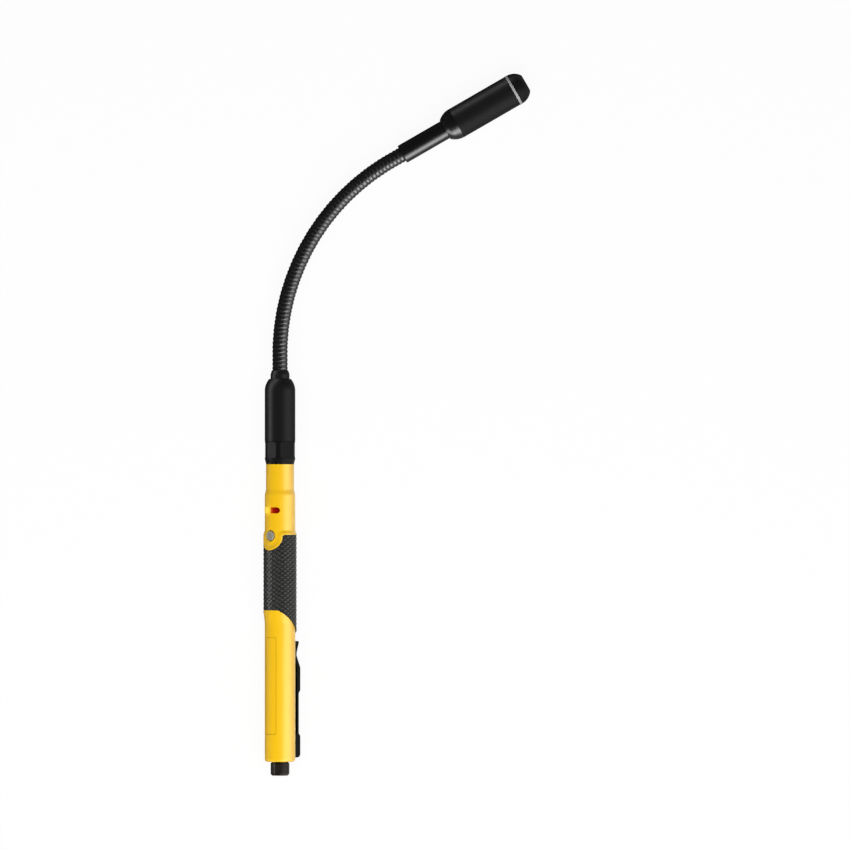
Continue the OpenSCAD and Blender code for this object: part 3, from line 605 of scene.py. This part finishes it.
class Finish:
    """A procedural material: add() makes any node, and the shader's own sockets take plain numbers."""

    def __init__(self, name):
        self.material = bpy.data.materials.new(name)
        self.material.use_nodes = True
        self.tree = self.material.node_tree
        self.tree.nodes.clear()
        self.shader = self.tree.nodes.new("ShaderNodeBsdfPrincipled")
        self.output = self.tree.nodes.new("ShaderNodeOutputMaterial")
        self.surface = Value(self, self.shader.outputs[0])
        self.put(self.output.inputs["Surface"], self.surface)
        self.place = self.add("ShaderNodeTexCoord", {}, {}, "Object")

    def put(self, socket, value):
        """A plain value goes onto the socket, and a Value is linked to it."""
        if isinstance(value, Value):
            self.tree.links.new(value.socket, socket)
        else:
            socket.default_value = value

    def add(self, kind, settings, inputs, output=0):
        """A node of a type, with its settings set first and then its sockets, as the Value of one output."""
        node = self.tree.nodes.new(kind)
        for key, value in settings.items():
            if key == "stops":
                self.set_stops(node.color_ramp, value)
            else:
                setattr(node, key, value)
        for key, value in inputs.items():
            self.put(node.inputs[key], value)
        return Value(self, node.outputs[output])

    @staticmethod
    def set_stops(ramp, stops):
        """The ramp's stops, as position and colour."""
        while len(ramp.elements) < len(stops):
            ramp.elements.new(1.0)
        for element, (position, shade) in zip(ramp.elements, stops):
            element.position = position
            element.color = (*shade, 1.0)

    def set(self, **sockets):
        """Sockets of the shader by name, with underscores for spaces."""
        for key, value in sockets.items():
            self.put(self.shader.inputs[key.replace("_", " ")], value)
        return self

    def noise(self, scale, detail=2.0, roughness=0.5, place=None):
        """Noise from 0 to 1, about 0.5, with so many features a metre."""
        return self.add(
            "ShaderNodeTexNoise",
            {},
            {"Vector": place or self.place, "Scale": scale, "Detail": detail, "Roughness": roughness},
        )

    def stretched(self, x, y, z):
        """Object coordinates scaled along each axis."""
        return self.add(
            "ShaderNodeVectorMath",
            {"operation": "MULTIPLY"},
            {0: self.place, 1: (x, y, z)},
        )

    def part(self, vector, axis):
        """One of a vector's three parts."""
        return self.add("ShaderNodeSeparateXYZ", {}, {"Vector": vector}, "XYZ".index(axis))

    def mix(self, share, a, b):
        """Two colours mixed by a share."""
        return self.add(
            "ShaderNodeMix", {"data_type": "RGBA"}, {0: share, 6: wide(a), 7: wide(b)}, 2
        )

    def bump(self, height, depth):
        """A normal from a height from 0 to 1 that stands for a depth in metres."""
        return self.add("ShaderNodeBump", {}, {"Height": height, "Distance": depth, "Strength": 1.0})


def wide(shade):
    """A colour with its alpha, or a linked colour as it is."""
    return shade if isinstance(shade, Value) else (*shade, 1.0)


def scaled(shade, factor):
    """A colour made lighter or darker."""
    return tuple(min(1.0, c * factor) for c in shade)


def moulded(name, shade, roughness, grain=0.02 * MM, spread=0.10, specular=0.5):
    """Moulded plastic: slow drifts of shade, a fine spark-eroded grain and uneven gloss from handling."""
    f = Finish(name)
    drift = f.noise(38, 3)
    fine = f.noise(2600, 2, 0.6)
    smudge = f.noise(120, 4, 0.62)
    f.tone = f.mix(drift, scaled(shade, 1 - spread), scaled(shade, 1 + spread))
    rub = (smudge - 0.5) * 0.16
    f.set(
        Base_Color=f.tone,
        Roughness=(rub + roughness).clamp(),
        Specular_IOR_Level=specular,
        Normal=f.bump(fine, grain),
    )
    return f


def glow_place(f):
    """Distances in metres from the lamp along its window: to the right, seen from the front, and to the neck."""
    lamp, front = middle("lamp"), front_angle()
    x, y, z = (f.part(f.place, axis) for axis in "XYZ")
    aside = (x - lamp.x) * math.cos(front) - (z - lamp.z) * math.sin(front)
    return aside, y - lamp.y


def yellow_moulding(name, shade):
    """The barrel's glossy moulding, darkened along the panel's edge as painted shade, with the lamp's light spilling
    onto it round the window's lit end.
    """
    f = moulded(name, shade, 0.36, grain=0.004 * MM, spread=0.03, specular=1.0)
    panel_edge_shade = f.add("ShaderNodeAttribute", {"attribute_name": "mark"}, {}, "Fac")
    # painted shade: the yellow darkens along the panel's edge
    f.set(Base_Color=f.mix(panel_edge_shade * 0.6, f.tone, scaled(shade, 0.3)))
    aside, along = glow_place(f)
    aside = aside + 3 * MM
    far = (aside * aside * 0.35 + along * along).math("SQRT")
    spill = (1 - far / (6 * MM)).clamp()
    f.set(Emission_Color=f.mix(spill * spill, (0, 0, 0), (0.5, 0.33, 0.02)), Emission_Strength=1.0)
    return f.material


def soft_grip(name, shade):
    """Soft overmould: dull, with a fine tooth, grooves darkened as painted shade, crowns paler from wear and wear
    that lies in slow patches.
    """
    f = Finish(name)
    tooth = f.noise(3600, 2, 0.7)
    patch = f.noise(70, 4, 0.6)
    crown = f.add("ShaderNodeAttribute", {"attribute_name": "mark"}, {}, "Fac")
    # painted shade in the grooves, where the mark is low; the crowns are paler from wear
    crown_wear_and_groove_shade = (crown * 0.85 + (patch - 0.5) * 0.3).clamp()
    f.set(
        Base_Color=f.mix(crown_wear_and_groove_shade, scaled(shade, 0.3), scaled(shade, 1.6)),
        Roughness=(patch - 0.5) * 0.16 + 0.3,
        Specular_IOR_Level=0.2,
        Normal=f.bump(tooth, 0.01 * MM),
    )
    return f.material


def wound_wire(name, shade, pitch):
    """Black coated wire: streaks along each winding, coat rubbed thin on the crowns and slots between that are dull
    and darkened as painted shade.
    """
    f = Finish(name)
    surface = f.add("ShaderNodeUVMap", {"uv_map": "Surface"}, {})
    station = f.part(surface, "X")
    round_it = f.part(surface, "Y")
    streak = f.add("ShaderNodeCombineXYZ", {}, {0: station * 2400.0, 1: round_it * 90.0})
    fine = f.noise(1.0, 3, 0.6, streak)
    patch = f.noise(160, 3, 0.6)
    crown = 1 - (station / pitch).math("FRACT").math("SUBTRACT", 0.5).math("ABSOLUTE") * 2
    rubbed = (crown**3 * (patch - 0.38) * 1.6).clamp()
    dull_shaded_slot = ((0.34 - crown) * 10.0).clamp()
    f.set(
        # painted shade: the slots between windings are darkened in colour as well as made dull
        Base_Color=f.mix(dull_shaded_slot, f.mix(rubbed, shade, scaled(shade, 3.2)), scaled(shade, 0.2)),
        Roughness=(fine - 0.5) * 0.16 + 0.28 + dull_shaded_slot * 0.6,
        Metallic=rubbed * 0.35,
        Specular_IOR_Level=0.75,
        Normal=f.bump(fine, 0.012 * MM),
    )
    return f.material


def turned_metal(name, shade):
    """Satin metal: fine scratches one way and a slow tarnish."""
    f = Finish(name)
    lines = f.noise(1.0, 3, 0.7, f.stretched(300, 5200, 300))
    tarnish = f.noise(240, 3)
    f.set(
        Base_Color=f.mix((lines + tarnish) * 0.5, scaled(shade, 0.3), scaled(shade, 1.7)),
        Metallic=0.4,
        Roughness=(lines - 0.5) * 0.24 + 0.42,
        Normal=f.bump(lines, 0.008 * MM),
    )
    return f.material


def lit_window(name):
    """Clear red plastic lit from behind: yellow light at the lamp's side, falling to dark red at the right end."""
    f = Finish(name)
    aside, along = glow_place(f)
    cloud = f.noise(500, 2)
    share = aside / (15 * MM) + 0.5 + (cloud - 0.5) * 0.03 + along * along * 2600.0
    stops = [
        (0.0, (0.80, 0.44, 0.01)),
        (0.30, (1.0, 0.80, 0.10)),
        (0.52, (1.0, 0.66, 0.04)),
        (0.60, (0.55, 0.09, 0.01)),
        (0.67, (0.36, 0.018, 0.004)),
        (0.82, (0.17, 0.002, 0.0008)),
        (1.0, (0.12, 0.001, 0.0005)),
    ]
    f.set(
        Base_Color=f.mix(cloud, (0.05, 0.001, 0.0005), (0.08, 0.002, 0.001)),
        Roughness=cloud * 0.06 + 0.2,
        Specular_IOR_Level=0.1,
        Emission_Color=f.add("ShaderNodeValToRGB", {"stops": stops}, {0: share.clamp()}),
        Emission_Strength=0.95,
    )
    return f.material


def lamp_body(name, glow):
    """The lit lamp: clear resin that glows, brighter where it is thick."""
    f = Finish(name)
    cloud = f.noise(700, 2)
    f.set(
        Base_Color=f.mix(cloud, scaled(glow, 0.7), glow),
        Roughness=cloud * 0.1 + 0.1,
        Emission_Color=f.mix(cloud, scaled(glow, 0.8), glow),
        Emission_Strength=2.0,
    )
    return f.material


def plated(name, shade, roughness=0.28):
    """Plated metal with a slow tarnish and fine handling marks."""
    f = Finish(name)
    marks = f.noise(1800, 3, 0.65)
    slow = f.noise(90, 3)
    f.set(
        Base_Color=f.mix(slow, scaled(shade, 0.8), shade),
        Metallic=1.0,
        Roughness=(marks - 0.5) * 0.22 + roughness,
        Normal=f.bump(marks, 0.006 * MM),
    )
    return f.material


def circuit(name):
    """Coated board: copper tracks under green lacquer, drawn as the edges of blocky cells."""
    f = Finish(name)
    cells = f.add(
        "ShaderNodeTexVoronoi",
        {"distance": "CHEBYCHEV", "feature": "F1"},
        {"Vector": f.place, "Scale": 420.0},
    )
    track = (cells * 3.2 - 1.1).clamp()
    mottle = f.noise(800, 2)
    f.set(
        Base_Color=f.mix(track, (0.008, 0.12, 0.035), (0.03, 0.22, 0.06)),
        Roughness=mottle * 0.15 + 0.28,
        Coat_Weight=0.3,
        Normal=f.bump(track, 0.03 * MM),
    )
    return f.material


def wrapped_cell(name):
    """Shrink-wrapped cell: a deep blue sleeve with a paler band toward one end."""
    f = Finish(name)
    band = f.noise(60, 2)
    f.set(
        Base_Color=f.mix(band, (0.02, 0.05, 0.10), (0.035, 0.09, 0.17)),
        Roughness=band * 0.1 + 0.2,
        Coat_Weight=0.3,
        Normal=f.bump(f.noise(1500, 2), 0.01 * MM),
    )
    return f.material


def dress(obj, material):
    """Gives an object one material."""
    obj.data.materials.clear()
    obj.data.materials.append(material)


def dress_nodes(material, *names):
    """Gives CAD nodes one material."""
    for name in names:
        dress(frame["nodes"][name], material)


# Operators


class DETECTOR_OT_barrel(bpy.types.Operator):
    """Build the moulded barrel with its tab, panel and step"""

    bl_idname = "leak_detector.barrel"
    bl_label = "Barrel"

    def execute(self, context):
        scene = context.scene
        points, mark = barrel_points(scene.detector_barrel, scene.detector_grip)
        barrel = add_mesh("barrel_moulding", points, close_u=True, close_v=True, sharp=35, mark=mark)
        dress(barrel, yellow_moulding("yellow moulding", tuple(scene.detector_colours.yellow)))
        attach(barrel, "handle")
        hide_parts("barrel")
        return {"FINISHED"}


class DETECTOR_OT_grip(bpy.types.Operator):
    """Build the soft grip with its raised diamonds"""

    bl_idname = "leak_detector.grip"
    bl_label = "Grip"

    def execute(self, context):
        settings = context.scene.detector_grip
        points, mark = grip_points(settings)
        grip = add_mesh("grip_diamonds", points, close_u=True, close_v=True, sharp=60, mark=mark)
        dress(grip, soft_grip("soft grip", context.scene.detector_colours.grip))
        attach(grip, "handle")
        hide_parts("grip_sleeve")
        return {"FINISHED"}


class DETECTOR_OT_neck(bpy.types.Operator):
    """Build the wound neck as one stretch of windings for each link"""

    bl_idname = "leak_detector.neck"
    bl_label = "Wound neck"

    def execute(self, context):
        s = context.scene.detector_neck
        wire = wound_wire("wound wire", context.scene.detector_colours.wire, s.pitch)
        joints = [joint_at(name) for name in JOINTS]
        step = np.linalg.norm(joints[1] - joints[0])
        root = joints[0] - np.array([0, s.root_steps * step, 0])
        ends = [root, *joints, np.array(middle("filter_disc"))]
        steps = [s.root_steps, *[1] * LINKS, s.tip_steps]
        for k, (name, body, node) in enumerate(zip(WINDINGS, CHAIN, STRETCHES)):
            count = round(steps[k] * step / s.pitch)
            points, uv = winding_points(s, ends[k], ends[k + 1], count, seated=k > 0, hollowed=k <= LINKS)
            piece = add_mesh(name, points, close_v=True, caps=True, sharp=60, uv=uv + k * step)
            dress(piece, wire)
            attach(piece, body)
            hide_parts(node)
        return {"FINISHED"}


class DETECTOR_OT_handle_finish(bpy.types.Operator):
    """Dress the handle's solids: button, lamp and its window, clip and tail cap"""

    bl_idname = "leak_detector.handle_finish"
    bl_label = "Handle finishes"

    def execute(self, context):
        c = context.scene.detector_colours
        glow = (1.0, 0.72, 0.22)
        clip = moulded("clip moulding", tuple(c.clip), 0.4, spread=0.2, specular=0.06)
        cap = moulded("cap moulding", tuple(c.cap), 0.3, spread=0.2, specular=0.2)
        dress_nodes(turned_metal("button metal", tuple(c.metal)), "push_button")
        dress_nodes(lit_window("lamp window"), "lamp_window")
        dress_nodes(lamp_body("lamp resin", glow), "lamp")
        dress_nodes(clip.material, "pocket_clip")
        dress_nodes(cap.material, "tail_cap")
        return {"FINISHED"}


class DETECTOR_OT_black_finish(bpy.types.Operator):
    """Dress the black solids of boot and head, and the pale ring"""

    bl_idname = "leak_detector.black_finish"
    bl_label = "Boot and head finishes"

    def execute(self, context):
        c = context.scene.detector_colours
        satin = moulded("satin black", tuple(c.satin), 0.4, grain=FINE_GRAIN, spread=0.15, specular=0.1)
        ring_black = moulded("ring black", scaled(c.satin, 0.8), 0.4, grain=FINE_GRAIN, spread=0.15, specular=0.07)
        gloss = moulded("gloss black", tuple(c.gloss), 0.27, grain=0.006 * MM, spread=0.15, specular=0.5)
        nose = moulded("nose black", tuple(c.nose), 0.5, grain=0.012 * MM, spread=0.15, specular=0.08)
        coat = moulded("collar coat", tuple(c.satin), 0.4, spread=0.2, specular=0.11)
        ring = moulded("pale ring", tuple(c.ring), 0.45, spread=0.06, specular=0.3)
        housing = moulded("housing black", tuple(c.satin), 0.45, grain=FINE_GRAIN, spread=0.15, specular=0.1)
        dress_nodes(satin.material, "neck_boot")
        dress_nodes(housing.material, "head_housing")
        dress_nodes(ring_black.material, "coupling_ring")
        dress_nodes(gloss.material, "head_stem", "head_rear")
        dress_nodes(nose.material, "nose_cap")
        dress_nodes(coat.material, "neck_collar")
        dress_nodes(ring.material, "mark_ring")
        return {"FINISHED"}


class DETECTOR_OT_inlet_mesh(bpy.types.Operator):
    """Build the woven filter behind the gas inlet"""

    bl_idname = "leak_detector.inlet_mesh"
    bl_label = "Inlet mesh"

    def execute(self, context):
        direction = middle("filter_disc") - Vector(joint_at(JOINTS[-1]))
        points = mesh_disc_points("filter_disc", direction.normalized())
        woven = add_mesh("inlet_mesh", points, close_v=True, caps=True)
        dress(woven, plated("woven steel", (0.42, 0.42, 0.42), 0.35))
        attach(woven, "head")
        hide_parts("filter_disc")
        return {"FINISHED"}


class DETECTOR_OT_inner_finish(bpy.types.Operator):
    """Dress the solids inside the handle and the head"""

    bl_idname = "leak_detector.inner_finish"
    bl_label = "Inner finishes"

    def execute(self, context):
        dress_nodes(circuit("lacquered board"), "circuit_board", "sensor_board")
        dress_nodes(soft_grip("seal rubber", (0.02, 0.02, 0.02)), "cap_seal", "boot_seal")
        dress_nodes(
            plated("plated steel", (0.6, 0.6, 0.57)),
            "tail_spring", "front_contact", "root_nut", "gas_sensor",
        )
        dress_nodes(
            moulded("switch plastic", (0.03, 0.03, 0.03), 0.5).material,
            "tact_switch", "switch_plunger", "buzzer",
        )
        dress_nodes(moulded("tube plastic", (0.62, 0.61, 0.56), 0.5).material, "cell_tube")
        dress_nodes(wrapped_cell("cell wrap"), "cell_rear", "cell_front")
        return {"FINISHED"}


class DETECTOR_OT_stage(bpy.types.Operator):
    """Lay the floor, hang the lamps and set the camera"""

    bl_idname = "leak_detector.stage"
    bl_label = "Stage"

    def softbox(self, name, heading, tilt, distance, size, brightness, shines=True):
        """An even panel that faces the object from a heading round it, in degrees from +X, and a tilt from
        straight above; its power follows from its area. One that shines is seen only as a reflection, and one
        that does not is a screened lamp that only lights."""
        around, tilt = math.radians(heading), math.radians(tilt)
        place = distance * Vector(
            (math.sin(tilt) * math.cos(around), math.sin(tilt) * math.sin(around), math.cos(tilt))
        )
        lamp = bpy.data.lights.new(name, "AREA")
        lamp.shape, lamp.size, lamp.size_y = "RECTANGLE", size[0], size[1]
        lamp.energy = brightness * math.pi * size[0] * size[1]
        lamp.cycles.use_multiple_importance_sampling = shines
        obj = bpy.data.objects.new(name, lamp)
        obj.location = place
        obj.rotation_euler = (-place).to_track_quat("-Z", "Y").to_euler()
        obj.visible_camera = False
        obj.visible_glossy = shines
        obj.visible_diffuse = not shines
        bpy.context.scene.collection.objects.link(obj)
        return obj

    def floor(self, shade, glow):
        """A wide pale floor just under the object. It keeps the object's shadow, and the camera and reflections see
        it mostly as even white."""
        half = np.linspace(-20, 20, 9)
        x, y = np.meshgrid(half, half, indexing="ij")
        floor = add_mesh("floor", np.stack([x, y, np.full_like(x, -0.2 * MM)], -1))
        f = Finish("pale floor")
        mottle = f.noise(3, 2)
        f.set(
            Base_Color=f.mix(mottle, scaled(shade, 0.99), shade), Roughness=0.9, Specular_IOR_Level=0.1
        )
        seen = f.add("ShaderNodeLightPath", {}, {}, "Is Camera Ray")
        for ray in ("Is Glossy Ray", "Is Transmission Ray"):
            seen = seen.math("MAXIMUM", f.add("ShaderNodeLightPath", {}, {}, ray))
        white = f.add("ShaderNodeEmission", {}, {"Color": (1, 1, 1, 1)})
        f.put(f.output.inputs["Surface"], f.add("ShaderNodeMixShader", {}, {0: seen * glow, 1: f.surface, 2: white}))
        dress(floor, f.material)

    def ring_station(self):
        """Station of the coupling ring's lower end along the neck's middle line."""
        return float(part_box("coupling_ring")[0].y - joint_at(JOINTS[0])[1])

    def flag(self, name, start, end, reach, shade):
        """A dark card on the floor, cut along the object's middle line and seen only in reflections."""
        centre, side = neck_path(np.linspace(start, end, 90))
        points = centre[:, None, :] + np.array([0.0, reach])[None, :, None] * side[:, None, :]
        points[..., 2] = -0.1 * MM
        card = add_mesh(name, points if reach < 0 else points[::-1])
        f = Finish(name)
        grey = (shade,) * 3
        f.set(Base_Color=f.mix(f.noise(4, 2), grey, scaled(grey, 1.1)), Roughness=0.9, Specular_IOR_Level=0.0)
        dress(card, f.material)
        card.visible_camera = card.visible_diffuse = card.visible_shadow = card.visible_transmission = False

    def group(self, name, members):
        """The pieces that a card shines on, as a collection."""
        pieces = bpy.data.collections.new(name)
        for member in members:
            pieces.objects.link(frame["nodes"].get(member) or bpy.data.objects[member])
        return pieces

    def execute(self, context):
        scene, s = context.scene, context.scene.detector_stage
        scene.view_settings.view_transform = "Standard"
        self.floor(tuple(s.floor), s.glow)
        self.softbox("fill panel", -90, 22, 1.6, (2.2, 2.2), s.fill, shines=False)
        self.softbox("right fill", 0, 75, 1.4, (1.6, 0.7), s.right_fill, shines=False)
        self.softbox("left fill", 180, 75, 1.4, (1.6, 0.7), s.left_fill, shines=False)
        self.flag("left flag", start=-0.34, end=0.30, reach=-1.0, shade=0.06)
        self.flag("right flag", start=self.ring_station(), end=0.30, reach=0.1, shade=0.32)
        self.softbox("right card", -35, 58, 1.35, (2.4, 1.7), s.right)
        strip = self.softbox("tail strip", -72, 58, 1.25, (1.4, 0.8), s.strip)
        strip.light_linking.receiver_collection = self.group("glossy pieces", GLOSSY)
        low = self.softbox("low card", -112, 78, 1.25, (1.5, 0.7), s.strip)
        low.light_linking.receiver_collection = self.group("head's rear", ["head_rear"])
        left = self.softbox("left card", 150, 78, 1.3, (3.2, 0.46), s.left)
        left.light_linking.receiver_collection = self.group("dark pieces", DARK)
        world = bpy.data.worlds.new("studio")
        world.use_nodes = True
        sky = world.node_tree.nodes["Background"]
        sky.inputs["Color"].default_value = (1, 1, 1, 1)
        sky.inputs["Strength"].default_value = s.sky
        scene.world = world
        _, axis_z = handle_axis()
        camera = bpy.data.cameras.new("camera")
        camera.lens = camera.sensor_width * s.distance / s.span
        camera.clip_end = 50
        obj = bpy.data.objects.new("camera", camera)
        obj.location = (s.centre[0], s.centre[1], axis_z + s.distance)
        scene.collection.objects.link(obj)
        scene.camera = obj
        return {"FINISHED"}


OPERATORS = (
    DETECTOR_OT_barrel,
    DETECTOR_OT_grip,
    DETECTOR_OT_neck,
    DETECTOR_OT_handle_finish,
    DETECTOR_OT_black_finish,
    DETECTOR_OT_inlet_mesh,
    DETECTOR_OT_inner_finish,
    DETECTOR_OT_stage,
)


class DETECTOR_PT_panel(bpy.types.Panel):
    """The detector's pieces and their settings"""

    bl_label = "Detector"
    bl_idname = "DETECTOR_PT_panel"
    bl_space_type = "VIEW_3D"
    bl_region_type = "UI"
    bl_category = "Detector"

    def draw(self, context):
        for operator in OPERATORS:
            self.layout.operator(operator.bl_idname)


SETTINGS = {
    "detector_barrel": BarrelSettings,
    "detector_grip": GripSettings,
    "detector_neck": NeckSettings,
    "detector_colours": ColourSettings,
    "detector_stage": StageSettings,
}


def register():
    """Registers the classes and hangs the settings on the scene."""
    for cls in (*SETTINGS.values(), *OPERATORS, DETECTOR_PT_panel):
        bpy.utils.register_class(cls)
    for name, cls in SETTINGS.items():
        setattr(bpy.types.Scene, name, PointerProperty(type=cls))


def unregister():
    """Takes the settings and the classes away again."""
    for name in SETTINGS:
        delattr(bpy.types.Scene, name)
    for cls in (DETECTOR_PT_panel, *reversed(OPERATORS), *reversed(list(SETTINGS.values()))):
        bpy.utils.unregister_class(cls)


def main():
    """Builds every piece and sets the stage."""
    register()
    bpy.ops.leak_detector.barrel()
    bpy.ops.leak_detector.grip()
    bpy.ops.leak_detector.neck()
    bpy.ops.leak_detector.handle_finish()
    bpy.ops.leak_detector.black_finish()
    bpy.ops.leak_detector.inlet_mesh()
    bpy.ops.leak_detector.inner_finish()
    bpy.ops.leak_detector.stage()


if __name__ == "__main__":
    main()
